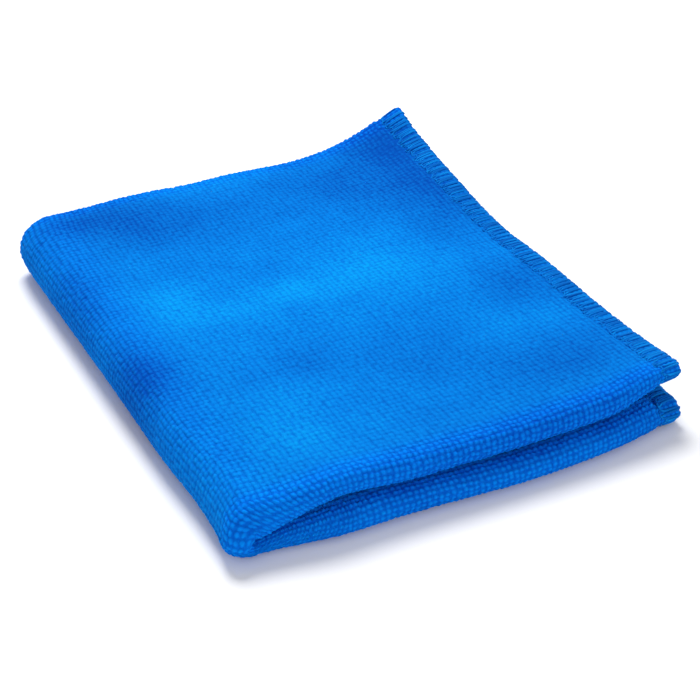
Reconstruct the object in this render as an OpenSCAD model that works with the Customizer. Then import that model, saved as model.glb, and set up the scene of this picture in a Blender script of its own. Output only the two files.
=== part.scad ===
// Terry polishing cloth. Its front and back are folded in to the middle, then it is folded in half.
// The first folds make the rounded front and back edges, the second fold the rounded left side.
// The hem is a three-thread overlock. It shows along the right side, and inside along the middle.
// Origin: middle of the resting face. +X towards the right hem, +Y towards the back, +Z up.

/* [Folded cloth] */
// Width from the outside of the second fold to the right hem
fold_w = 150; // [130:1:180]
// Depth of one half, from its front fold to its back fold
fold_d = 185; // [150:1:220]
// Thickness of one layer with its loops
layer_t = 4.3; // [3.6:0.1:5]
// Air between the two layers of one half
layer_gap = 0.3; // [0.3:0.1:0.6]
// Air between the lower half and the upper half
half_gap = 0.8; // [0.8:0.1:2]
// How far the lower half sits in front of the upper half
half_shift = 3; // [0:0.5:8]
// Air between the front and the back flap's hems, which meet in the middle
hem_gap = 1; // [0.5:0.5:4]

/* [Loose corner] */
// Height that the back right corner curls up
corner_lift = 13; // [0:1:14]
// How far the hem stretches the corner out of square
corner_pull = 5; // [0:1:8]
// Share of the curl taken by the flap under the top layer
curl_share = 0.7; // [0.3:0.1:1]
// Length of the curl along the back fold
curl_x = 50; // [30:1:60]
// Length of the curl along the right hem
curl_y = 65; // [40:1:75]

/* [Overlock hem] */
// Width of the hem, from the needle line to the edge
hem_w = 8; // [6:0.5:9]
// Thickness of the thread bands on each face
thread_t = 0.6; // [0.3:0.1:0.8]
// Radius of the hem's corner
corner_r = 4; // [3:0.5:5]

/* [Hidden] */

// Stacking of the layers
pair_t = 2 * layer_t + layer_gap;
mid_z = pair_t + half_gap / 2;
// Middle of one half, as a distance from the plane between the halves
pair_r = half_gap / 2 + pair_t / 2;
// Middle of a layer, as a distance from the middle of its half
layer_r = (layer_t + layer_gap) / 2;
// Length of the cloth's middle round a first fold
roll_l = layer_r * PI;
// Axis of the second fold, and the right edge
fold_x = -fold_w / 2 + mid_z;
edge_x = fold_w / 2;
// Half the distance between the centre lines of the first folds, and where the flaps start
flat_s = (fold_d - pair_t) / 2;
flap_s = flat_s + roll_l;
// Length of the cloth from the middle of the outer layer to a flap's hem
end_s = flap_s + flat_s - hem_gap / 2;
// Where the bands' inner side, the needle line and the cloth inside the hem lie
needle_w = 0.7;
play = 0.1;
core_inset = 1.4;
core_t = layer_t - 2 * thread_t - 0.4;
core_r = corner_r - core_inset;
slope = 0.3;
inner_r = 0.2;
LOWER = -90;
UPPER = 90;
cloth_blue = [0.02, 0.45, 0.86];
thread_blue = [0.05, 0.36, 0.72];

function lerp(a, b, t) = a + (b - a) * t;
function ramp(t) = pow(max(0, min(1, t)), 2);
function reversed(list) = [for (i = [len(list) - 1 : -1 : 0]) list[i]];

// Middle of a half along Y: the halves sit apart by half_shift, and the second fold joins them
function middle_y(phi) = half_shift / 2 * phi / 90;

// How much of the back corner's curl reaches a point of the upper half, from 0 to 1
function curl(x, y) =
    ramp((x - edge_x + curl_x) / curl_x) * ramp((y - fold_d / 2 - half_shift / 2 + curl_y) / curl_y);

// Share of it that a layer takes: 1 on the outer layer, less round the back fold and on its flap
function curled(s) =
    let (t = max(0, min(1, (s - flat_s) / roll_l))) lerp(1, curl_share, (1 - cos(180 * t)) / 2);

// Place across one half: s is the length along the cloth from the middle of the outer layer, and grows
// round the back fold to the back flap. h is the height on the cloth's outward face.
function across(s, h) =
    let (b = abs(s) - flat_s, a = b / layer_r * 180 / PI, r = layer_r + h)
    b <= 0 ? [s, r]
    : b < roll_l ? [sign(s) * (flat_s + r * sin(a)), r * cos(a)]
    : [sign(s) * (flat_s + roll_l - b), -r];

// Point of the cloth: phi is LOWER for the lower half, UPPER for the upper half, between in the fold
function at(phi, x, s, h) =
    let (
        c = across(s, h),
        r = pair_r + c.y,
        y = middle_y(phi) + c.x,
        k = phi == UPPER ? curled(s) * curl(x, y) : 0
    )
    [x - r * cos(phi) + k * corner_pull, y + k * corner_pull, mid_z + r * sin(phi) + k * corner_lift];

// Triangles across a ring that goes out along one side of a strip and back along the other
function cap(n) = [
    for (j = [0 : n / 2 - 2])
        each [[j, j + 1, n - 2 - j], [j, n - 2 - j, n - 1 - j]]
];

// Solid through a row of rings that have the same number of points. Each side has a point at its
// middle, so that two sheets that curl together stay the same distance apart
module skin(rings) {
    n = len(rings[0]);
    last = len(rings) - 1;
    corners = [for (ring = rings) each ring];
    quads = [
        for (i = [0 : last - 1], j = [0 : n - 1])
            let (a = i * n + j, b = i * n + (j + 1) % n)
            [a, b, b + n, a + n]
    ];
    middles = [for (q = quads) (corners[q[0]] + corners[q[1]] + corners[q[2]] + corners[q[3]]) / 4];
    sides = [
        for (i = [0 : len(quads) - 1], k = [0 : 3])
            [quads[i][k], quads[i][(k + 1) % 4], len(corners) + i]
    ];
    first_cap = [for (t = cap(n)) reversed(t)];
    last_cap = [for (t = cap(n)) [for (j = t) last * n + j]];
    polyhedron(concat(corners, middles), concat(sides, first_cap, last_cap), convexity = 8);
}

// Lengths along a layer where it can curl, in n steps: on the outer layer, round the fold, on the flap
function outer_marks(n) = concat([0], [for (i = [0 : n]) lerp(flat_s - curl_y, flat_s, i / n)]);
function fold_marks() = [for (i = [0 : 12]) flat_s + roll_l * i / 12];
function flap_marks(n) = [for (i = [0 : n]) flap_s + curl_y * i / n];
function inner(list) = [for (i = [1 : len(list) - 2]) list[i]];

// Hem stations, each an outer and an inner point [x, s]: along the right side, and round the corner
// and along the middle
function side_stations(marks) = [for (s = marks) [[edge_x, s], [edge_x - hem_w, s]]];
function end_stations() =
    let (in_x = edge_x - hem_w - inner_r, in_s = end_s - hem_w - inner_r,
         out_x = edge_x - corner_r, out_s = end_s - corner_r)
    concat(
        [for (a = [0 : 22.5 : 90])
            [[out_x + corner_r * cos(a), out_s + corner_r * sin(a)],
             [in_x + inner_r * cos(a), in_s + inner_r * sin(a)]]],
        [[[fold_x, end_s], [fold_x, end_s - hem_w]]]);
function mirrored(row) = [for (st = reversed(row)) [[st[0].x, -st[0].y], [st[1].x, -st[1].y]]];

// The hem from the middle of the outer layer's right side to the end of its flap
function hem_half(n) = concat(
    side_stations(concat(outer_marks(n), inner(fold_marks()), flap_marks(n))), end_stations());

// Ring of a hem section, given as [distance from the edge, height], at one station
function hem_ring(phi, station, section) =
    [for (p = section)
        let (q = lerp(station[0], station[1], p.x / hem_w)) at(phi, q.x, q.y, p.y)];

// Sections of the three threads
half_t = layer_t / 2;
needle_in = hem_w - play;
needle_out = needle_in - needle_w;
function band(side, inner) =
    let (o = side * half_t, i = side * (half_t - thread_t), m = side * play / 2)
    side > 0
    ? [[0, m], [0, o], [inner, o], [inner, i], [thread_t, i], [thread_t, m]]
    : [[thread_t, m], [thread_t, i], [inner, i], [inner, o], [0, o], [0, m]];
needle_section = [[needle_out, half_t - thread_t], [needle_out, half_t], [needle_in, half_t],
                  [needle_in, half_t - thread_t]];
upper_section = band(1, needle_out - play);
lower_section = band(-1, needle_in);

// A thread's run along the hem of one half
module hem_thread(phi, section, n) {
    half = hem_half(n);
    row = concat(mirrored(half), [for (i = [1 : len(half) - 1]) half[i]]);
    rings = [for (station = row) hem_ring(phi, station, section)];
    skin(phi == LOWER ? reversed(rings) : rings);
}

// A thread's two runs round the second fold, along the hems of the front and the back flap
module fold_thread(section) {
    for (side = [-1, 1]) {
        station = [[fold_x, side * end_s], [fold_x, side * (end_s - hem_w)]];
        rings = [for (i = [0 : 12])
            hem_ring(lerp(LOWER, UPPER, (side < 0 ? 12 - i : i) / 12), station, section)];
        skin(reversed(rings));
    }
}

// Flat outer layer: full thickness up to the hem, thinner between the threads
module flat_outer() {
    translate([fold_x, middle_y(LOWER) - flat_s, 0]) {
        cube([edge_x - hem_w - fold_x, 2 * flat_s, layer_t]);
        translate([0, 0, (layer_t - core_t) / 2])
            cube([edge_x - core_inset - fold_x, 2 * flat_s, core_t]);
    }
}

// Flat flap, on the inner side of one half. side is -1 for the front flap, 1 for the back flap
module flat_flap(phi, side) {
    w = edge_x - fold_x;
    d = end_s - flap_s;
    z = mid_z + sign(phi) * (pair_r - layer_r);
    translate([fold_x, middle_y(phi) + side * flat_s, z]) mirror([0, side > 0 ? 1 : 0, 0]) {
        translate([0, 0, -layer_t / 2]) cube([w - hem_w, d - hem_w, layer_t]);
        translate([0, 0, -core_t / 2]) linear_extrude(core_t) hull() {
            square([w - core_inset, d - corner_r]);
            square([w - corner_r, d - core_inset]);
            translate([w - corner_r, d - corner_r]) circle(r = core_r, $fn = 32);
        }
    }
}

// Half the thickness of a curling layer: less inside the hem, with a short slope up to it
function half_of(x, s) =
    max(x - edge_x, s - end_s) > -hem_w - slope / 2 ? core_t / 2 : half_t;

// A length along the cloth, cut short where the hem's corner is round
function in_corner(x, s) =
    let (p = x - edge_x + corner_r)
    p <= 0 ? s : min(s, end_s - corner_r + sqrt(max(0, core_r * core_r - p * p)));

// Cloth of the upper half that can curl, between the marks
module curling(marks) {
    n = 9;
    start = edge_x - curl_x;
    full = [for (i = [0 : n]) lerp(start, edge_x - hem_w - slope, i / n)];
    thin = [for (a = [0 : 30 : 90]) edge_x - corner_r + core_r * sin(a)];
    xs = concat([fold_x], full, [edge_x - hem_w], thin);
    skin([for (x = xs) concat(
        [for (s = marks) at(UPPER, x, in_corner(x, s), half_of(x, s))],
        [for (s = reversed(marks)) at(UPPER, x, in_corner(x, s), -half_of(x, s))])]);
}

// The straight first fold of one half. side is -1 for the front fold, 1 for the back fold
module straight_fold(phi, side) {
    module half_ring(x, w, t)
        translate([x, middle_y(phi) + side * flat_s, mid_z + sign(phi) * pair_r]) rotate([0, 90, 0])
            linear_extrude(w) difference() {
                circle(r = layer_r + t / 2, $fn = 64);
                circle(r = layer_r - t / 2, $fn = 64);
                translate([-pair_t, side > 0 ? -2 * pair_t : 0]) square(2 * pair_t);
            }
    half_ring(fold_x, edge_x - hem_w - fold_x, layer_t);
    half_ring(edge_x - hem_w, hem_w - core_inset, core_t);
}

// A layer's turn round the second fold, from s0 to s1
module side_wrap(s0, s1, t) {
    steps = 16;
    skin([for (i = [0 : steps])
        let (phi = lerp(LOWER, UPPER, i / steps))
        [at(phi, fold_x, s0, -t / 2), at(phi, fold_x, s0, t / 2),
         at(phi, fold_x, s1, t / 2), at(phi, fold_x, s1, -t / 2)]]);
}

// A flap's turn round the second fold, thinner inside its hem
module flap_wrap(side) {
    ends = [for (s = [flap_s, end_s - hem_w]) side * s];
    core = [for (s = [end_s - hem_w - 1, end_s - core_inset]) side * s];
    side_wrap(min(ends), max(ends), layer_t);
    side_wrap(min(core), max(core), core_t);
}

// A first fold's turn round the second fold
module corner_turn(side) {
    steps = 16;
    marks = side > 0 ? fold_marks() : [for (s = reversed(fold_marks())) -s];
    skin([for (i = [0 : steps]) let (phi = lerp(LOWER, UPPER, i / steps)) concat(
        [for (s = marks) at(phi, fold_x, s, half_t)],
        [for (s = reversed(marks)) at(phi, fold_x, s, -half_t)])]);
}

module panel_bottom() { color(cloth_blue) flat_outer(); }
module front_flap_lower() { color(cloth_blue) flat_flap(LOWER, -1); }
module back_flap_lower() { color(cloth_blue) flat_flap(LOWER, 1); }
module front_fold_lower() { color(cloth_blue) straight_fold(LOWER, -1); }
module back_fold_lower() { color(cloth_blue) straight_fold(LOWER, 1); }
module panel_top() { color(cloth_blue) curling(concat([-flat_s], outer_marks(9))); }
module front_flap_upper() { color(cloth_blue) flat_flap(UPPER, -1); }
module back_flap_upper() {
    hem_marks = [for (d = [hem_w + slope, hem_w, core_inset]) end_s - d];
    color(cloth_blue) curling(concat(flap_marks(9), hem_marks));
}
module front_fold_upper() { color(cloth_blue) straight_fold(UPPER, -1); }
module back_fold_upper() { color(cloth_blue) curling(fold_marks()); }
module second_fold_outer() { color(cloth_blue) side_wrap(-flat_s, flat_s, layer_t); }
module second_fold_inner() { color(cloth_blue) for (side = [-1, 1]) flap_wrap(side); }
module fold_corner_front() { color(cloth_blue) corner_turn(-1); }
module fold_corner_back() { color(cloth_blue) corner_turn(1); }
module needle_thread_lower() { color(thread_blue) hem_thread(LOWER, needle_section, 1); }
module upper_looper_lower() { color(thread_blue) hem_thread(LOWER, upper_section, 1); }
module lower_looper_lower() { color(thread_blue) hem_thread(LOWER, lower_section, 1); }
module needle_thread_upper() { color(thread_blue) hem_thread(UPPER, needle_section, 9); }
module upper_looper_upper() { color(thread_blue) hem_thread(UPPER, upper_section, 9); }
module lower_looper_upper() { color(thread_blue) hem_thread(UPPER, lower_section, 9); }
module needle_thread_fold() { color(thread_blue) fold_thread(needle_section); }
module upper_looper_fold() { color(thread_blue) fold_thread(upper_section); }
module lower_looper_fold() { color(thread_blue) fold_thread(lower_section); }

panel_bottom();
front_flap_lower();
back_flap_lower();
front_fold_lower();
back_fold_lower();
panel_top();
front_flap_upper();
back_flap_upper();
front_fold_upper();
back_fold_upper();
second_fold_outer();
second_fold_inner();
fold_corner_front();
fold_corner_back();
needle_thread_lower();
upper_looper_lower();
lower_looper_lower();
needle_thread_upper();
upper_looper_upper();
lower_looper_upper();
needle_thread_fold();
upper_looper_fold();
lower_looper_fold();
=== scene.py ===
"""The looks of the folded terry polishing cloth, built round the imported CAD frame. Metres, row frame.

Every place on the cloth is given by q, its length across the second fold (negative on the lower half), by s,
its length from the middle of the outer layer towards the back flap, and by h, its height on the outward face.
"""
import math
from types import SimpleNamespace

import bpy
import numpy as np
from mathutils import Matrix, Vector


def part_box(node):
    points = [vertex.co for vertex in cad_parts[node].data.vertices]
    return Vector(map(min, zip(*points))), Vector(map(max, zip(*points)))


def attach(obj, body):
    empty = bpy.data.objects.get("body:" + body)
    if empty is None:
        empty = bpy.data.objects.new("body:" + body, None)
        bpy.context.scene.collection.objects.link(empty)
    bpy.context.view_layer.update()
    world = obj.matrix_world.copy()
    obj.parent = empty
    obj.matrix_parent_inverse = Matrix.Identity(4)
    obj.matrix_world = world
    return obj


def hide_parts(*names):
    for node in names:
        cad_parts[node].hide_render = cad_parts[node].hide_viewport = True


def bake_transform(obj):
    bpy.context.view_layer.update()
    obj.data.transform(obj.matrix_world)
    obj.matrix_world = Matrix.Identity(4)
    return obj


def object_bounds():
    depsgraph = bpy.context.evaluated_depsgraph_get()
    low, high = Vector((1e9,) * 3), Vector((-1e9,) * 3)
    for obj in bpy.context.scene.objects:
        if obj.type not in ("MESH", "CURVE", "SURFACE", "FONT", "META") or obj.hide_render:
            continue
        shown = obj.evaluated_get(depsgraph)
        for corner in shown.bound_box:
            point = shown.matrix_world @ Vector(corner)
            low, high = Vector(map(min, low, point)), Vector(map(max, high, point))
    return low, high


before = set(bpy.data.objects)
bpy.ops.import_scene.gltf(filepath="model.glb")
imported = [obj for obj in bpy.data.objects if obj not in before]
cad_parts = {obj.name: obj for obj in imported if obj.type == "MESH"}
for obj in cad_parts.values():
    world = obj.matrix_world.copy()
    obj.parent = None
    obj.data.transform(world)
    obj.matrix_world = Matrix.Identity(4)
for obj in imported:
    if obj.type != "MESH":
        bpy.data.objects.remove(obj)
cad_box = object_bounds()
MM = 0.001

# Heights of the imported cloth: one layer, a half of two layers, and the two halves with the gap between them
BOTTOM_LOW, BOTTOM_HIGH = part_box("panel_bottom")
LAYER_T = BOTTOM_HIGH.z
LAYER_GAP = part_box("front_flap_lower")[0].z - LAYER_T
PAIR_T = 2 * LAYER_T + LAYER_GAP
HALF_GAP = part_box("front_flap_upper")[0].z - PAIR_T
MID_Z = PAIR_T + HALF_GAP / 2
PAIR_R = (PAIR_T + HALF_GAP) / 2
LAYER_R = (LAYER_T + LAYER_GAP) / 2
HALF_T = LAYER_T / 2
TOP_Z = 2 * MID_Z

# Its width from the second fold to the hem, and the hem's own
FOLD_X = BOTTOM_LOW.x
EDGE_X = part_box("upper_looper_lower")[1].x
WIDTH = EDGE_X - FOLD_X
NEEDLE_W = 0.8 * MM
HEM_W = EDGE_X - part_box("needle_thread_lower")[1].x + NEEDLE_W

# Lengths from the middle of the outer layer, round a first fold and back along a flap
HALF_SHIFT = -(BOTTOM_LOW.y + BOTTOM_HIGH.y)
FLAT_S = (BOTTOM_HIGH.y - BOTTOM_LOW.y) / 2
ROLL_L = LAYER_R * math.pi
FLAP_S = FLAT_S + ROLL_L
SPLIT_S = FLAT_S + ROLL_L / 2
FLAP_GAP = 0.5 * MM
END_S = FLAP_S + FLAT_S - FLAP_GAP
BACK_Y = FLAT_S + PAIR_T / 2 + HALF_SHIFT / 2

# Length round the second fold on its outward face, and over how much of each half the inner layers catch up
FACE_R = LAYER_R + HALF_T
TURN_L = math.pi * (PAIR_R + FACE_R)
EASE_L = 35 * MM

# The loose corner, as in the CAD
CORNER_LIFT, CORNER_PULL, CURL_SHARE = 13 * MM, 5 * MM, 0.7
CURL_X, CURL_Y, CORNER_R = 50 * MM, 65 * MM, 4 * MM

# How steeply the gap between the halves drops towards the front of the second fold
MOUTH_SLOPE = 0.047

# Bodies, and where the pieces round the second fold would turn from one to the other: the outer layer smoothly, and the
# inner ones at the gap, across which they are parted. At the front the gap slopes, and so does the turn. Nothing below
# turns the pieces by these points.
LOWER, UPPER, BOTH = ("lower_half",), ("upper_half",), ("lower_half", "upper_half")
TURN_H = 0.2 * MM
OUTER_BEND = ((FOLD_X, 0, LAYER_T), (FOLD_X, 0, TOP_Z - LAYER_T - 3.4 * MM))
BACK_BEND = ((FOLD_X, 0, MID_Z - TURN_H), (FOLD_X, 0, MID_Z + TURN_H))
FRONT_BEND = ((FOLD_X, TURN_H * MOUTH_SLOPE, MID_Z - TURN_H), (FOLD_X, -TURN_H * MOUTH_SLOPE, MID_Z + TURN_H))

# Terry loops, and the mesh that carries them: the hidden face has one point to every COARSE of the outward one
PITCH = 1.8 * MM
RELIEF = 0.55 * MM
STEP = PITCH / 3
NORMAL_STEP = 0.25 * MM
COARSE = 4
FEW = (slice(None, None, COARSE),) * 2
MARGIN = COARSE * STEP

# Overlock hem
STITCH = 2.05 * MM
THREAD_R = 0.4 * MM
THREAD_SIDES = 6
NEEDLE_D = HEM_W - 0.45 * MM
HEM_T = 1.45 * MM
HEM_EDGE_T = 0.3 * MM
HEM_ROUND = 1.6 * MM

# Camera: its aim from the middle of the CAD box, its angles in degrees, and its focal length in picture widths
AIM = Vector((-0.0113, -0.03622, 0.00357))
AZIMUTH, ELEVATION, DISTANCE = -26.81, 32.28, 0.4543
FOCAL = 2.1557
FLOOR_HALF = 3.0

RANDOM = np.random.default_rng(11).random((6, 256, 256))


# ---------------------------------------------------------------- helpers
def smooth(t):
    t = np.clip(t, 0, 1)
    return t * t * (3 - 2 * t)


def hill(t):
    """1 at 0, smoothly 0 at -1 and 1."""
    return smooth(1 - np.abs(t))


def chance(i, j, k):
    """A fixed random number from 0 to 1 for cell (i, j), from layer k."""
    return RANDOM[k, i.astype(int) % 256, j.astype(int) % 256]


# ---------------------------------------------------------------- where the cloth lies
def across(s, h):
    """Place across one half, as in the CAD: (distance from its middle, height)."""
    b, r = np.abs(s) - FLAT_S, LAYER_R + h
    a = np.clip(b / LAYER_R, 0, math.pi)
    over = np.maximum(b - ROLL_L, 0)
    y = np.minimum(np.abs(s), FLAT_S) + r * np.sin(a) - over
    return np.sign(s) * y, r * np.cos(a)


def turn(q):
    """(phi, x): the angle round the second fold, from -90 on the lower half to 90, and the place along X."""
    return -90 + 180 * np.clip(q / TURN_L, 0, 1), FOLD_X + np.maximum(0, -q) + np.maximum(0, q - TURN_L)


def curl(x, y):
    """Share of the corner's lift at a place."""
    a = np.clip((x - EDGE_X + CURL_X) / CURL_X, 0, 1)
    b = np.clip((y - BACK_Y + CURL_Y) / CURL_Y, 0, 1)
    return a * a * b * b


def curled(s):
    """Share of the curl that a layer takes: less round the back fold and on its flap."""
    t = np.clip((s - FLAT_S) / ROLL_L, 0, 1)
    return 1 + (CURL_SHARE - 1) * (1 - np.cos(math.pi * t)) / 2


def zones(x, y, z):
    """How far a place is into each zone of the folded cloth. Above is -1 on the table, 0 at the gap and 1 on top."""
    return SimpleNamespace(
        above=z / MID_Z - 1,
        level=np.clip(z / TOP_Z, 0, 1),
        upper=smooth((z - MID_Z + 2 * MM) / (4 * MM)),
        fold=hill((x - FOLD_X) / 0.03),
        turn=smooth((FOLD_X - x) / MID_Z),
        right=smooth((x - FOLD_X) / WIDTH),
        front=smooth((-0.02 - y) / 0.07),
        back=smooth((y - 0.03) / 0.06),
        front_tip=smooth((x - 0.045) / 0.03) * smooth((-0.06 - y) / 0.034))


def shift_x(x, y, on):
    """The second fold bulges more at the back, the right side is a little hollow, and its ends draw back."""
    move = -2.0 * on.turn * y / BACK_Y - 1.0 * on.turn * smooth((-0.082 - y) / 0.01)
    move += 2.0 * on.fold * smooth((y - 0.075) / 0.02) * (0.4 + 0.6 * on.level)
    move += 1.3 * on.fold * hill((y + 0.07) / 0.03)
    move -= 1.0 * on.right ** 2 * hill((y - 0.008) / 0.085)
    move -= 1.4 * on.front_tip * (1 + 0.5 * on.upper)
    move -= 1.6 * on.upper * smooth((x - 0.05) / 0.025) * smooth((y - 0.07) / 0.024)
    return move * MM


def shift_y(x, y, z, on):
    """The front folds run in and out, the back ones bulge, and the second fold's front end is squeezed."""
    squeezed = hill((x - FOLD_X + 1 * MM) / 0.014) * hill((z - MID_Z) / 0.0065) * smooth((-0.08 - y) / 0.008)
    move = on.front * on.level * (2.0 * hill((x - FOLD_X + 0.008) / 0.03) - 1.6 * hill((x - 0.02) / 0.06))
    move += on.front * (1 - on.upper) * (3.7 * on.fold - 2.0 * hill((x - 0.02) / 0.045))
    move += 3.0 * (1 - 0.4 * on.upper) * on.front_tip
    move += on.back * (1.5 * hill((x + 0.005) / 0.045) - 1.3 * on.upper * hill((x + 0.012) / 0.02))
    move -= 2.2 * squeezed
    return move * MM


def mouth(x, y, on):
    """The opening at the front of the second fold: the gap drops, and the upper fold arches beside it."""
    drop = MOUTH_SLOPE * (np.hypot(y, 3 * MM) - y) / 2 * on.fold
    arch = MM * hill((x - FOLD_X - 25 * MM) / 0.023) * smooth((-0.074 - y) / 0.012)
    move = -drop * np.where(on.above < 0, 1 + on.above, 1 - 0.55 * on.above)
    return move + arch * (2.0 * on.upper * (1 - 0.6 * on.above) - 1.0 * (1 - on.upper) * (1 + on.above))


def shift_z(x, y, on):
    """The front tips part, the right side lifts towards the back corner, and the top is a little wavy."""
    free = smooth((x - FOLD_X) / 0.03) * smooth((EDGE_X - x) / 0.02) * on.level
    waves = np.sin(x / 0.021 + y / 0.034 + 0.6) + np.sin(y / 0.017 - x / 0.041 + 2.1)
    move = 0.5 * waves * free - 0.9 * on.front_tip * np.where(on.above < 0, 1 + on.above, 0)
    move += 6.0 * on.upper * on.front_tip * (1 - 0.5 * on.above)
    move += on.upper * on.right ** 3 * (4.2 * hill((y - 0.044) / 0.042) + 1.6 * hill((y + 0.01) / 0.04))
    move += on.back * (1.2 * on.level * smooth((x + 0.02) / 0.06) + 1.0 * np.clip(on.above, 0, 1))
    return mouth(x, y, on) + move * MM


def relax(p):
    """The uneven lie of a cloth folded by hand, as a smooth shift of each place."""
    x, y, z = p[..., 0], p[..., 1], p[..., 2]
    on = zones(x, y, z)
    return p + np.stack([shift_x(x, y, on), shift_y(x, y, z, on), shift_z(x, y, on)], -1)


def place(q, s, h):
    """Point of the cloth at rest, as in the CAD, with its uneven lie."""
    q, s, h = np.broadcast_arrays(q, s, h)
    phi, x = turn(q)
    y, c = across(s, h)
    y = y + HALF_SHIFT / 2 * phi / 90
    r, a = PAIR_R + c, np.radians(phi)
    k = curled(s) * (q >= TURN_L) * curl(x, y)
    p = np.stack([x - r * np.cos(a) + k * CORNER_PULL, y + k * CORNER_PULL,
                  MID_Z + r * np.sin(a) + k * CORNER_LIFT], -1)
    return relax(p)


def face_q(q, s):
    """Length along the outward face from the middle of the second fold, which is shorter on its inner layers."""
    own = math.pi * (PAIR_R + across(s, HALF_T)[1])
    part = np.clip(q / TURN_L, 0, 1) - 0.5
    out = np.maximum(-q, 0) + np.maximum(q - TURN_L, 0)
    eased = (TURN_L - own) / 2 * smooth(out / EASE_L)
    return part * own + np.sign(q - TURN_L / 2) * (out + eased)


def face_s(s):
    """Length along the outward face, which is longer than the cloth's middle round a first fold."""
    return s + np.sign(s) * (FACE_R / LAYER_R - 1) * np.clip(np.abs(s) - FLAT_S, 0, ROLL_L)


# ---------------------------------------------------------------- the cloth's own relief
def loops(u, v, round_):
    """Height of the terry, from 0 in a groove to 1 on a tall loop, at lengths u and v along the cloth."""
    u, v = u / PITCH, v / PITCH
    cell_u, cell_v = np.floor(u), np.floor(v)
    best = np.zeros_like(u)
    for i in (-1, 0, 1):
        for j in (-1, 0, 1):
            cu, cv = cell_u + i, cell_v + j
            du = u - cu - 0.5 - (0.4 - 0.2 * round_) * (chance(cu, cv, 0) - 0.5)
            dv = v - cv - 0.5 - (0.46 - 0.2 * round_) * (chance(cu, cv, 1) - 0.5)
            lean = 0.7 * (chance(cu, cv, 2) - 0.5)
            du, dv = du + lean * dv, dv - lean * du
            wide, tall_v = 0.54 - 0.06 * round_, 0.6 - 0.15 * round_ + 0.08 * chance(cu, cv, 3)
            far = (du / wide) ** 2 + (dv / tall_v) ** 2
            tall = 0.6 + 0.4 * chance(cu, cv, 4)
            best = np.maximum(best, tall * np.sqrt(np.clip(1 - far, 0, 1)))
    return best


def body(d):
    """Half the thickness of the cloth under its loops, at a distance from the hem's edge."""
    edge = np.sqrt(np.clip(1 - (1 - np.clip(d / HEM_ROUND, 0, 1)) ** 2, 0, 1))
    groove = 0.22 * MM * np.exp(-((d - NEEDLE_D) / (1.1 * MM)) ** 2)
    hem = HEM_EDGE_T + (HEM_T - HEM_EDGE_T) * edge - groove
    return hem + (HALF_T - HEM_T) * smooth((d - NEEDLE_D) / (3 * MM))


def hem_distance(q, s):
    """Distance to the nearest edge that has a hem."""
    return np.minimum(EDGE_X - turn(q)[1], END_S - np.abs(s))


def round_corner(q, s):
    """Places near a hem's corner, drawn in to its radius."""
    out = np.where(q < 0, -q, np.maximum(q - TURN_L, 0))
    p, r = CORNER_R - (WIDTH - out), CORNER_R - (END_S - np.abs(s))
    near = (p > 0) & (r > 0)
    shrink = np.where(near, np.maximum(p, r) / np.maximum(np.hypot(p, r), 1e-9), 1)
    moved = WIDTH - CORNER_R + p * shrink
    return (np.where(near, np.where(q < 0, -moved, TURN_L + moved), q),
            np.where(near, np.sign(s) * (END_S - CORNER_R + r * shrink), s))


def pressed(q, s):
    """How tall the loops stand: 1 where they are free, less under the cloth and inside the second fold."""
    free = np.where((q < 0) & (np.abs(s) < FLAT_S), 0.5, 1.0)
    return free * np.where((np.abs(s) > SPLIT_S) & (q > 0) & (q < TURN_L), 0.25, 1.0)


def bent(q, s):
    """1 round a first fold, less round the second, and 0 on the flats."""
    first = np.clip(1.6 * hill((np.abs(s) - SPLIT_S) / (ROLL_L / 2 + 7 * MM)), 0, 1)
    out = np.maximum(-q, 0) + np.maximum(q - TURN_L, 0)
    return np.maximum(first, 0.35 * smooth(1 - out / (14 * MM)))


def cloth(q, s, side):
    """(point, loop height) on the outward face (side 1) or the hidden one (side -1)."""
    q, s = np.broadcast_arrays(q, s)
    d = hem_distance(q, s)
    round_ = bent(q, s)
    pile = loops(face_q(q, s), face_s(s), round_) if side > 0 else np.full(s.shape, 0.5)
    deep = RELIEF * (0.66 + 0.4 * round_) * pressed(q, s) * smooth(d / MM)
    deep = deep * (0.45 + 0.55 * smooth((d - NEEDLE_D) / (2 * MM)))
    rise = 0.12 * MM * (q > 0) if side > 0 else 0
    h = side * (body(d) + rise - deep * (1 - pile))
    return place(*round_corner(q, s), h), pile


def cloth_normal(q, s, side):
    """The face's own normal, from its slopes, so that pieces cut from one face are shaded alike at the cut."""
    eps, far = NORMAL_STEP, TURN_L + WIDTH
    a = cloth(np.minimum(q + eps, far), s, side)[0] - cloth(np.maximum(q - eps, -WIDTH), s, side)[0]
    b = cloth(q, np.minimum(s + eps, END_S), side)[0] - cloth(q, np.maximum(s - eps, -END_S), side)[0]
    n = side * np.cross(a, b)
    return n / np.maximum(np.linalg.norm(n, axis=-1, keepdims=True), 1e-12)


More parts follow.
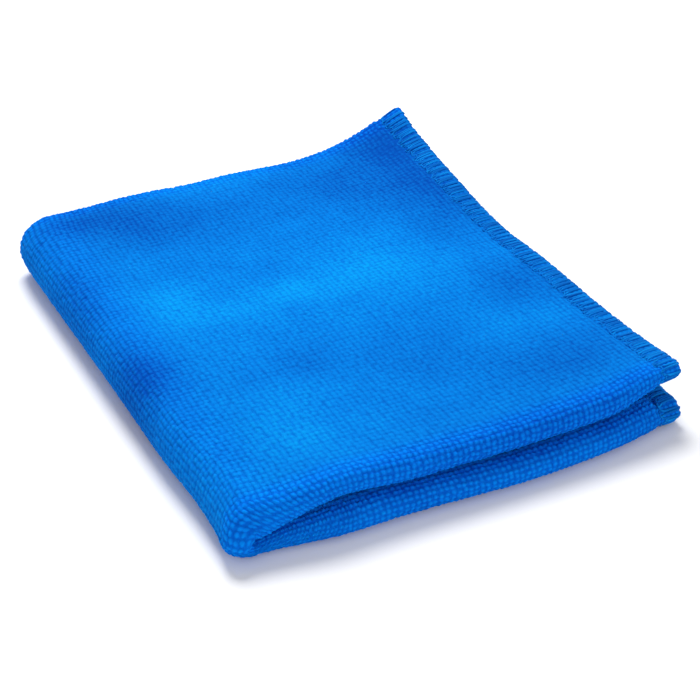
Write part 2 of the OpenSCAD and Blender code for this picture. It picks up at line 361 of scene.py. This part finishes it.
def nap(p):
    """Broad light and dark patches: painted light and shade on the cloth's crests, hollows, rolls and edges, partly the
    pile lying one way or the other.
    """
    x, y = p[..., 0] / MM, p[..., 1] / MM

    def patch(much, cx, cy, rx, ry):
        return much * np.exp(-((x - cx) / rx) ** 2 - ((y - cy) / ry) ** 2)

    # Painted light: a bright band across the middle of the top and lighter places nearer its edges.
    middle = patch(0.9, -46, 15, 12, 17) + patch(0.9, -15, 5, 26, 9) + patch(0.7, 20, 8, 22, 24)
    edges = patch(0.8, -40, -64, 14, 16) + patch(0.5, 0, 88, 24, 8) + patch(0.4, 42, -40, 22, 12)
    faint = patch(0.35, 38, -4, 26, 12) + patch(0.2, -26, -22, 34, 32)
    # Painted shade: darker on the right side and its lifted back corner, on the left flank by the second fold, at the
    # back, on the front roll and in two places in the middle.
    dark_right = patch(1.5, 64, 54, 20, 38) + patch(0.9, 60, -22, 18, 12) + patch(1.1, 68, 84, 14, 16)
    dark_left = patch(1.7, -70, -18, 9, 18) + patch(0.9, -72, 36, 9, 26) + patch(1.3, -54, 80, 24, 10)
    dark_back = patch(0.9, -40, 64, 16, 12) + patch(0.6, -16, 66, 26, 14) + patch(0.8, 32, 68, 20, 24)
    dark_front = patch(0.9, 46, -66, 26, 12) + patch(0.9, 20, -90, 70, 6)
    dark_middle = patch(0.5, 12, -42, 20, 16) + patch(0.6, -23, -32, 12, 10)
    return middle + edges + faint - dark_right - dark_left - dark_back - dark_front - dark_middle


# ---------------------------------------------------------------- mesh making
def new_object(name, points, faces, normals=None, uvs=None, values=None):
    """faces: arrays of quads or triangles. uvs: {name: one (corners, 2) array per faces array}."""
    mesh = bpy.data.meshes.new(name)
    corners = np.concatenate([f.ravel() for f in faces]).astype(np.int32)
    sizes = np.concatenate([np.full(len(f), f.shape[1]) for f in faces])
    mesh.vertices.add(len(points))
    mesh.vertices.foreach_set("co", points.astype(np.float32).ravel())
    mesh.loops.add(len(corners))
    mesh.loops.foreach_set("vertex_index", corners)
    mesh.polygons.add(len(sizes))
    mesh.polygons.foreach_set("loop_start", np.concatenate([[0], np.cumsum(sizes)[:-1]]).astype(np.int32))
    mesh.polygons.foreach_set("use_smooth", np.ones(len(sizes), bool))
    mesh.update(calc_edges=True)
    for key, parts in (uvs or {}).items():
        layer = mesh.uv_layers.new(name=key)
        layer.data.foreach_set("uv", np.concatenate([q.reshape(-1, 2) for q in parts]).astype(np.float32).ravel())
    for key, value in (values or {}).items():
        mesh.attributes.new(key, "FLOAT", "POINT").data.foreach_set("value", value.astype(np.float32).ravel())
    if normals is not None:
        mesh.normals_split_custom_set_from_vertices(normals.astype(float).reshape(-1, 3))
    obj = bpy.data.objects.new(name, mesh)
    bpy.context.scene.collection.objects.link(obj)
    return obj


def grid_quads(index):
    """One quad for each cell of a grid of point numbers."""
    return np.stack([index[:-1, :-1], index[:-1, 1:], index[1:, 1:], index[1:, :-1]], -1).reshape(-1, 4)


def rim(index):
    """The point numbers round a grid's edge."""
    return np.concatenate([index[0, :-1], index[:-1, -1], index[-1, :0:-1], index[:0:-1, 0]])


def wall(fine, coarse):
    """Triangles between a fine loop and a coarse one with a point to every COARSE of it."""
    k = np.arange(len(coarse))
    here, after = coarse, np.roll(coarse, -1)
    at = [fine[(k * COARSE + j) % len(fine)] for j in range(COARSE + 1)]
    half = COARSE // 2
    tris = [np.stack([here, at[j + 1], at[j]], -1) for j in range(half)]
    tris += [np.stack([here, after, at[half]], -1)]
    tris += [np.stack([after, at[j + 1], at[j]], -1) for j in range(half, COARSE)]
    return np.concatenate(tris)


def cloth_uvs(q, s, shape):
    """UVs of a piece's points, outward then hidden: lengths counted in loops, and places of their own to bake to."""
    lengths = np.stack(np.broadcast_arrays(face_q(q, s), face_s(s)), -1) / PITCH
    share = np.stack(np.meshgrid(np.linspace(0.01, 0.99, shape[0]), np.linspace(0.01, 0.83, shape[1]),
                                 indexing="ij"), -1)
    real = np.concatenate([lengths.reshape(-1, 2), lengths[FEW].reshape(-1, 2)])
    bake = np.concatenate([share.reshape(-1, 2), (share[FEW] * [1, 0.1] + [0, 0.86]).reshape(-1, 2)])
    return real, bake


def cloth_piece(name, q, s):
    """A closed piece of cloth over columns q and rows s: a fine looped face, a coarse one, and walls."""
    q, s = q[:, None], s[None, :]
    top, pile = cloth(q, s, 1)
    low, _ = cloth(q[FEW], s[FEW], -1)
    fine = np.arange(pile.size).reshape(pile.shape)
    coarse = pile.size + np.arange(low[..., 0].size).reshape(low.shape[:2])
    faces = [grid_quads(fine)[:, ::-1], grid_quads(coarse), wall(rim(fine), rim(coarse))[:, ::-1]]
    points = np.concatenate([top.reshape(-1, 3), low.reshape(-1, 3)])
    normals = np.concatenate([cloth_normal(q, s, 1).reshape(-1, 3), cloth_normal(q[FEW], s[FEW], -1).reshape(-1, 3)])
    real, bake = cloth_uvs(q, s, pile.shape)
    uvs = {"cloth": [real[f] for f in faces],
           "OFBake": [bake[faces[0]], bake[faces[1]], bake[faces[2]] * [1, 0.02] + [0, 0.97]]}
    # Broad painted light and shade, partly the pile's lie, is kept on the points as an attribute.
    values = {"pile": np.concatenate([pile.ravel(), np.full(coarse.size, 0.4)]), "nap": nap(points),
              "bent": np.concatenate([bent(q, s).ravel(), np.zeros(coarse.size)])}
    return new_object(name, points, faces, normals, uvs, values)


def graded(length, more):
    """Distances from 0 to length: even steps, then closer ones to the edge. A multiple of COARSE steps."""
    flat = length - HEM_ROUND
    n = int(round(flat / STEP / COARSE)) * COARSE
    close = length - HEM_ROUND * (1 - np.sin(np.linspace(0, math.pi / 2, more + 1)[1:]))
    return np.concatenate([np.linspace(0, flat, n + 1), close])


def outer_rows():
    """Rows over the outer layer, closer together round the first folds."""
    n = int(round(2 * FLAT_S / STEP / COARSE)) * COARSE
    bend = np.linspace(FLAT_S, SPLIT_S, 3 * COARSE + 1)[1:]
    return np.concatenate([-bend[::-1], np.linspace(-FLAT_S, FLAT_S, n + 1), bend])


def flap_rows():
    """Rows over the back flap, from the middle of its first fold to its hem."""
    bend = np.linspace(SPLIT_S, FLAP_S, 3 * COARSE + 1)[:-1]
    return np.concatenate([bend, FLAP_S + graded(END_S - FLAP_S, COARSE)])


def tube(points, up, radius):
    """(points, quads, triangles) of a thread along points, with up the way from the cloth."""
    t = np.gradient(points, axis=0)
    t /= np.maximum(np.linalg.norm(t, axis=1, keepdims=True), 1e-12)
    b = np.cross(t, up)
    b /= np.maximum(np.linalg.norm(b, axis=1, keepdims=True), 1e-12)
    n = np.cross(b, t)
    a = np.arange(THREAD_SIDES) * 2 * math.pi / THREAD_SIDES
    ring = points[:, None] + radius * (np.cos(a)[None, :, None] * b[:, None] + np.sin(a)[None, :, None] * n[:, None])
    index = np.arange(len(points) * THREAD_SIDES).reshape(len(points), THREAD_SIDES)
    quads = grid_quads(np.concatenate([index, index[:, :1]], 1))
    first, last = index[0], index[-1]
    ends = np.concatenate([[[first[0], first[j], first[j + 1]] for j in range(1, THREAD_SIDES - 1)],
                           [[last[0], last[j + 1], last[j]] for j in range(1, THREAD_SIDES - 1)]])
    return ring.reshape(-1, 3), quads[:, ::-1], ends[:, ::-1]


# ---------------------------------------------------------------- the overlock threads
def hem_path():
    """The edge round one half: (length, distance from the second fold, s), from its front flap to its back one."""
    a = np.linspace(-math.pi / 2, 0, 9)
    cx, cs = WIDTH - CORNER_R, END_S - CORNER_R
    x = np.concatenate([[MARGIN], cx + CORNER_R * np.cos(a), cx + CORNER_R * np.cos(a[::-1]), [MARGIN]])
    s = np.concatenate([[-END_S], -cs + CORNER_R * np.sin(a), cs - CORNER_R * np.sin(a[::-1]), [END_S]])
    return np.concatenate([[0], np.cumsum(np.hypot(np.diff(x), np.diff(s)))]), x, s


def on_half(upper):
    """(length of the hem, function from (length, inset, height) to a point) for one half."""
    t_path, x_path, s_path = hem_path()

    def at(t, d, h):
        x, s = np.interp(t, t_path, x_path), np.interp(t, t_path, s_path)
        inner_x, inner_s = np.minimum(x, WIDTH - HEM_W), np.clip(s, HEM_W - END_S, END_S - HEM_W)
        out = x + (inner_x - x) * d / HEM_W
        return place(TURN_L + out if upper else -out, s + (inner_s - s) * d / HEM_W, h)

    return t_path[-1], at


def on_fold(side):
    """The same for the hem round the second fold: side -1 on the front flap, 1 on the back one."""
    real = math.pi * (PAIR_R - LAYER_R)
    length = real + 2 * MARGIN

    def at(t, d, h):
        stretched = np.interp(t, [0, MARGIN, MARGIN + real, length], [-MARGIN, 0, TURN_L, TURN_L + MARGIN])
        return place(stretched, side * (END_S - d), h)

    return length, at


def looper_stitch(side):
    """One stitch of a looper: its two legs lie together as a ridge. Columns (length in stitches, inset, height)."""
    leg = [(0.0, 1.00, -0.10), (0.20, 0.95, 0.15), (0.33, 0.78, 0.5), (0.36, 0.5, 0.62), (0.37, 0.24, 0.5),
           (0.41, 0.05, 0.1)]
    back = [(1 - t, d, h) for t, d, h in leg[:0:-1]]
    rows = np.array(leg + [(0.5, -0.05, 0.0)] + back)
    d = rows[:, 1] * NEEDLE_D
    h = np.where(rows[:, 1] > 0, body(np.maximum(d, 0)) + rows[:, 2] * THREAD_R, 0.1 * MM) - 0.1 * MM
    h[6] = 0.12 * MM
    return rows[:, 0], d, side * h


def needle_stitch():
    """One stitch of the needle thread: a short run on top that dips in at both ends."""
    t = np.array([0, 0.15, 0.35, 0.65, 0.85])
    h = body(np.array([NEEDLE_D])) + THREAD_R * np.array([-1.2, 0.2, 0.9, 0.9, 0.2])
    return t, np.full(5, NEEDLE_D), h


def thread_uvs(along, per_stitch, count):
    """UVs of a thread's points: cloth in lengths along and round it, OFBake with one cell for each stitch."""
    around = np.arange(THREAD_SIDES)
    k = np.arange(len(along))
    stitch, inside = k // per_stitch, k % per_stitch
    cells = math.ceil(math.sqrt(count + 1))
    u = ((stitch % cells)[:, None] + 0.1 + 0.8 * inside[:, None] / per_stitch + 0 * around) / cells
    v = ((stitch // cells)[:, None] + 0.1 + 0.13 * around + 0 * inside[:, None]) / cells
    real = np.stack([along[:, None] * 100 + 0 * around, around / THREAD_SIDES + 0 * along[:, None]], -1)
    return {"cloth": real.reshape(-1, 2), "OFBake": np.stack([u, v], -1).reshape(-1, 2)}


def thread(name, run, stitch, radius):
    """A thread with one stitch shape after another along a hem, each pulled a little differently."""
    length, at = run
    count = int(round(length / STITCH))
    t, d, h = stitch
    i = np.arange(count)[:, None]
    free = np.sin(math.pi * t)
    loose = 1 + 0.44 * (chance(i, 0 * i, 5) - 0.5) * free
    early = 0.75 * (chance(i, 0 * i + 7, 5) - 0.5) * free
    high = h + 0.5 * THREAD_R * (chance(i, 0 * i + 13, 5) - 0.5) * free
    all_t = np.append(((i + t + early) * length / count).ravel(), length)
    all_d = np.append((d * loose).ravel(), d[0])
    all_h = np.append(high.ravel(), h[0])
    points = at(all_t, all_d, all_h)
    up = at(all_t, all_d, all_h + 0.2 * MM) - points
    flip = 1 if h.sum() > 0 else -1
    ring, quads, ends = tube(points, up * flip, radius)
    uvs = {key: [uv[quads], uv[ends]] for key, uv in thread_uvs(all_t, len(t), count).items()}
    return new_object(name, ring, [quads, ends], None, uvs)


# ---------------------------------------------------------------- materials
def shader(name):
    """A new material, with its node tree and its Principled shader."""
    mat = bpy.data.materials.new(name)
    mat.use_nodes = True
    tree = mat.node_tree
    bsdf = next(n for n in tree.nodes if n.type == "BSDF_PRINCIPLED")
    return mat, tree, bsdf


def add(tree, kind, inputs=None, **settings):
    """A node with its settings, and its inputs set to a value or linked from an output."""
    node = tree.nodes.new(kind)
    for key, value in settings.items():
        setattr(node, key, value)
    for key, value in (inputs or {}).items():
        if isinstance(value, bpy.types.NodeSocket):
            tree.links.new(value, node.inputs[key])
        else:
            node.inputs[key].default_value = value
    return node


def math_node(tree, operation, a, b, c=None):
    inputs = {0: a, 1: b} if c is None else {0: a, 1: b, 2: c}
    return add(tree, "ShaderNodeMath", inputs, operation=operation).outputs[0]


def noise(tree, vector, scale, detail=2.0, rough=0.5):
    node = add(tree, "ShaderNodeTexNoise", {"Vector": vector, "Scale": scale, "Detail": detail, "Roughness": rough},
               noise_dimensions="2D")
    return node.outputs["Fac"]


def ramp(tree, fac, stops):
    node = add(tree, "ShaderNodeValToRGB", {"Fac": fac})
    band = node.color_ramp
    while len(band.elements) < len(stops):
        band.elements.new(0.5)
    for element, (at, colour) in zip(band.elements, stops):
        element.position = at
        element.color = (*colour, 1)
    return node.outputs["Color"]


def set_rough(tree, bsdf, fac, low, high):
    rough = add(tree, "ShaderNodeMapRange", {"Value": fac, "To Min": low, "To Max": high})
    tree.links.new(rough.outputs[0], bsdf.inputs["Roughness"])


def set_bump(tree, bsdf, height, strength, distance):
    bump = add(tree, "ShaderNodeBump", {"Height": height, "Strength": strength, "Distance": distance})
    tree.links.new(bump.outputs[0], bsdf.inputs["Normal"])


def set_gloss(bsdf, specular, sheen, sheen_rough, tint):
    """A fabric's faint gloss and sheen, the same all over."""
    bsdf.inputs["Specular IOR Level"].default_value = specular
    bsdf.inputs["Sheen Weight"].default_value = sheen
    bsdf.inputs["Sheen Roughness"].default_value = sheen_rough
    bsdf.inputs["Sheen Tint"].default_value = (*tint, 1)


def beads(tree, flat, bend):
    """Round loops on the same grid as the geometry: 1 on top of a loop and 0 between the ribs."""
    def vector_math(operation, a, b):
        return add(tree, "ShaderNodeVectorMath", {0: a, 1: b}, operation=operation)

    grid = vector_math("SUBTRACT", flat, (0.325, 0.325, 0)).outputs[0]
    cells = add(tree, "ShaderNodeTexVoronoi", {"Vector": grid, "Scale": 1.0, "Randomness": 0.35},
                voronoi_dimensions="2D", feature="F1")
    away = vector_math("SUBTRACT", grid, cells.outputs["Position"]).outputs[0]
    both = add(tree, "ShaderNodeCombineXYZ", {0: bend, 1: bend}).outputs[0]
    small = vector_math("ADD", vector_math("MULTIPLY", both, (0.25, 0.65, 0)).outputs[0], (1.85, 1.45, 0)).outputs[0]
    away = vector_math("MULTIPLY", away, small).outputs[0]
    far = vector_math("DOT_PRODUCT", away, away).outputs["Value"]
    return math_node(tree, "SQRT", math_node(tree, "MAXIMUM", math_node(tree, "SUBTRACT", 1.0, far), 0.0), 0.0)


def terry_material():
    """Loops with painted highlights on their tips and painted shade in their grooves, more alike where the cloth is
    bent, where a bluer colour is painted for the light bounced in the shade of the folds; broad painted light and
    shade, partly the pile's lie, on an uneven blue.
    """
    mat, tree, bsdf = shader("terry")
    flat = add(tree, "ShaderNodeUVMap", uv_map="cloth").outputs["UV"]
    # The second attribute holds the broad painted light and shade, partly the pile's lie.
    pile, painted_light_and_nap, bend = (add(tree, "ShaderNodeAttribute", attribute_name=name).outputs["Fac"]
                           for name in ("pile", "nap", "bent"))
    bead = beads(tree, flat, bend)
    clear = math_node(tree, "MULTIPLY_ADD", bend, 0.35, 0.42)
    painted_tip_highlight = math_node(tree, "MULTIPLY", math_node(tree, "MULTIPLY", bead, bead), clear)
    fibres = noise(tree, flat, 6.0, 3, 0.6)
    tufts, broad = noise(tree, flat, 1.6, 2), noise(tree, flat, 0.13, 2)
    # Painted shade in the grooves, where the pile is low, and painted highlights on the loop tips, stronger round the
    # folds; the noises add random tone, and the last term is the broad painted light and shade.
    light = math_node(tree, "MULTIPLY_ADD", pile, 0.14, 0.0)
    for source, much in ((painted_tip_highlight, 0.3), (fibres, 0.28), (tufts, 0.2), (broad, 0.15), (painted_light_and_nap, 0.18)):
        light = math_node(tree, "MULTIPLY_ADD", source, much, light)
    flat_blue = ramp(tree, light, [(0.12, (0.0008, 0.066, 0.4)), (0.5, (0.0012, 0.19, 0.68)),
                                   (0.98, (0.002, 0.42, 0.9))])
    # On the rolled folds a bluer, brighter colour is painted for the blue light bounced about in the pile in their
    # shade; bend mixes it in.
    painted_bounce_blue = ramp(tree, light, [(0.12, (0.0006, 0.07, 0.5)), (0.5, (0.001, 0.195, 0.82)),
                                   (0.98, (0.0018, 0.4, 1.0))])
    colour = add(tree, "ShaderNodeMix", {0: bend, 6: flat_blue, 7: painted_bounce_blue}, data_type="RGBA").outputs[2]
    tree.links.new(colour, bsdf.inputs["Base Color"])
    height = math_node(tree, "MULTIPLY_ADD", fibres, 0.5, math_node(tree, "MULTIPLY", bead, clear))
    set_rough(tree, bsdf, fibres, 0.82, 1.0)
    set_bump(tree, bsdf, height, 0.65, 0.3 * MM)
    set_gloss(bsdf, 0.02, 0.22, 0.45, (0.003, 0.42, 1.0))
    return mat


def thread_material():
    """Textured polyester thread: a slight twist, loose fibres and patches of wear along it."""
    mat, tree, bsdf = shader("hem_thread")
    flat = add(tree, "ShaderNodeUVMap", uv_map="cloth").outputs["UV"]
    long, round_ = add(tree, "ShaderNodeSeparateXYZ", {0: flat}).outputs[:2]
    ply = math_node(tree, "MULTIPLY_ADD", long, 130.0, math_node(tree, "MULTIPLY", round_, 2 * math.pi))
    twist = math_node(tree, "SINE", ply, 0)
    fibres, worn = noise(tree, flat, 40, 2), noise(tree, flat, 4.5, 2)
    light = math_node(tree, "MULTIPLY_ADD", twist, 0.08, math_node(tree, "MULTIPLY_ADD", fibres, 0.4, 0.05))
    light = math_node(tree, "MULTIPLY_ADD", worn, 0.5, light)
    colour = ramp(tree, light, [(0.25, (0.0008, 0.07, 0.36)), (0.5, (0.001, 0.15, 0.58)), (0.75, (0.0016, 0.31, 0.84))])
    tree.links.new(colour, bsdf.inputs["Base Color"])
    set_rough(tree, bsdf, fibres, 0.6, 0.85)
    set_bump(tree, bsdf, light, 0.6, 0.12 * MM)
    set_gloss(bsdf, 0.03, 0.12, 0.4, (0.005, 0.45, 1.0))
    return mat


# ---------------------------------------------------------------- the pieces
def settle(obj, mat, bodies, nodes):
    """Gives a piece its material, its body when it rides on one alone, and the CAD nodes that it stands for."""
    obj.data.materials.append(mat)
    if len(bodies) == 1:
        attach(obj, bodies[0])
    else:
        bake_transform(obj)
    if nodes:
        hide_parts(*nodes)
    return obj


def make_cloth():
    """Nine pieces of cloth: the outer layer, the front flap and the back flap of each half and of the second fold."""
    flats = graded(WIDTH, COARSE)
    round_fold = np.linspace(0, TURN_L, 12 * COARSE + 1)
    outer = {"lower": -flats[::-1], "upper": TURN_L + flats, "fold": round_fold}
    beside = flats[:COARSE + 1]
    inner = {"lower": -flats[:COARSE - 1:-1], "upper": TURN_L + flats[COARSE:],
             "fold": np.concatenate([-beside[:0:-1], round_fold, TURN_L + beside[1:]])}
    flap = flap_rows()
    made = {}
    for where in ("lower", "upper", "fold"):
        made[f"terry_{where}_outer"] = cloth_piece(f"terry_{where}_outer", outer[where], outer_rows())
        made[f"terry_{where}_front"] = cloth_piece(f"terry_{where}_front", inner[where], -flap[::-1])
        made[f"terry_{where}_back"] = cloth_piece(f"terry_{where}_back", inner[where], flap)
    return made


def make_threads(mat):
    """Needle thread and both loopers round each half and round the second fold's two flaps."""
    runs = [("lower", on_half(False), LOWER, None), ("upper", on_half(True), UPPER, None),
            ("fold_front", on_fold(-1), BOTH, FRONT_BEND), ("fold_back", on_fold(1), BOTH, BACK_BEND)]
    kinds = [("needle_thread", needle_stitch(), 0.7 * THREAD_R), ("upper_looper", looper_stitch(1), THREAD_R),
             ("lower_looper", looper_stitch(-1), THREAD_R)]
    made = {}
    for where, run, bodies, bend in runs:
        for kind, stitch, radius in kinds:
            piece = thread(f"{kind}_{where}_run", run, stitch, radius)
            node = f"{kind}_{where.split('_')[0]}"
            settle(piece, mat, bodies, [node] if where != "fold_back" else [])
            made.setdefault(where, []).append(piece)
    return made


def dress(cloths, mat):
    """Gives each piece of cloth its material, its body and the CAD nodes that it stands for, from a table of its
    bodies, its bend, which nothing reads, and those nodes.
    """
    rides = {
        "terry_lower_outer": (LOWER, None, ["panel_bottom", "front_fold_lower", "back_fold_lower"]),
        "terry_lower_front": (LOWER, None, ["front_flap_lower"]),
        "terry_lower_back": (LOWER, None, ["back_flap_lower"]),
        "terry_upper_outer": (UPPER, None, ["panel_top", "front_fold_upper", "back_fold_upper"]),
        "terry_upper_front": (UPPER, None, ["front_flap_upper"]),
        "terry_upper_back": (UPPER, None, ["back_flap_upper"]),
        "terry_fold_outer": (BOTH, OUTER_BEND, ["second_fold_outer", "fold_corner_front", "fold_corner_back"]),
        "terry_fold_front": (BOTH, FRONT_BEND, ["second_fold_inner"]),
        "terry_fold_back": (BOTH, BACK_BEND, []),
    }
    for name, (bodies, bend, nodes) in rides.items():
        settle(cloths[name], mat, bodies, nodes)


# ---------------------------------------------------------------- camera, floor and light
def look_at(obj, target):
    """Turns a camera or light to face a point."""
    obj.rotation_euler = (Vector(target) - obj.location).to_track_quat("-Z", "Y").to_euler()


def make_camera():
    low, high = cad_box
    target = (Vector(low) + Vector(high)) / 2 + AIM
    azimuth, elevation = math.radians(AZIMUTH), math.radians(ELEVATION)
    camera = bpy.data.objects.new("camera", bpy.data.cameras.new("camera"))
    bpy.context.scene.collection.objects.link(camera)
    level = Vector((math.sin(azimuth), -math.cos(azimuth), 0))
    away = level * math.cos(elevation) + Vector((0, 0, math.sin(elevation)))
    camera.location = target + away * DISTANCE
    look_at(camera, target)
    camera.data.lens = camera.data.sensor_width * FOCAL
    camera.data.clip_start = 10 * MM
    bpy.context.scene.camera = camera


def make_floor():
    """A plain pale floor, just clear of the cloth's lowest loops."""
    mesh = bpy.data.meshes.new("floor")
    corners = [(x * FLOOR_HALF, y * FLOOR_HALF, 0) for x, y in ((-1, -1), (1, -1), (1, 1), (-1, 1))]
    mesh.from_pydata(corners, [], [(0, 1, 2, 3)])
    floor = bpy.data.objects.new("floor", mesh)
    bpy.context.scene.collection.objects.link(floor)
    floor.location.z = -0.1 * MM
    mat, _, bsdf = shader("floor")
    bsdf.inputs["Base Color"].default_value = (0.93, 0.93, 0.93, 1)
    bsdf.inputs["Roughness"].default_value = 0.9
    bsdf.inputs["Specular IOR Level"].default_value = 0.1
    mesh.materials.append(mat)


def area_light(name, place_at, size, power):
    data = bpy.data.lights.new(name, "AREA")
    data.shape, data.size, data.energy = "DISK", size, power
    light = bpy.data.objects.new(name, data)
    bpy.context.scene.collection.objects.link(light)
    light.location = place_at
    look_at(light, (0, 0, 0))


def make_light():
    """A white room, a large lamp above the back and a weaker one low at the front."""
    world = bpy.data.worlds.new("studio")
    world.use_nodes = True
    bpy.context.scene.world = world
    back = next(n for n in world.node_tree.nodes if n.type == "BACKGROUND")
    back.inputs["Color"].default_value = (1, 1, 1, 1)
    back.inputs["Strength"].default_value = 0.5
    area_light("key", (0.1, 0.5, 0.9), 0.5, 9.5)
    area_light("fill", (-0.1, -0.85, 0.4), 0.6, 2.2)
    bpy.context.scene.view_settings.view_transform = "Standard"


make_camera()
make_floor()
make_light()
terry, hem_thread = terry_material(), thread_material()
cloths = make_cloth()
dress(cloths, terry)
threads = make_threads(hem_thread)
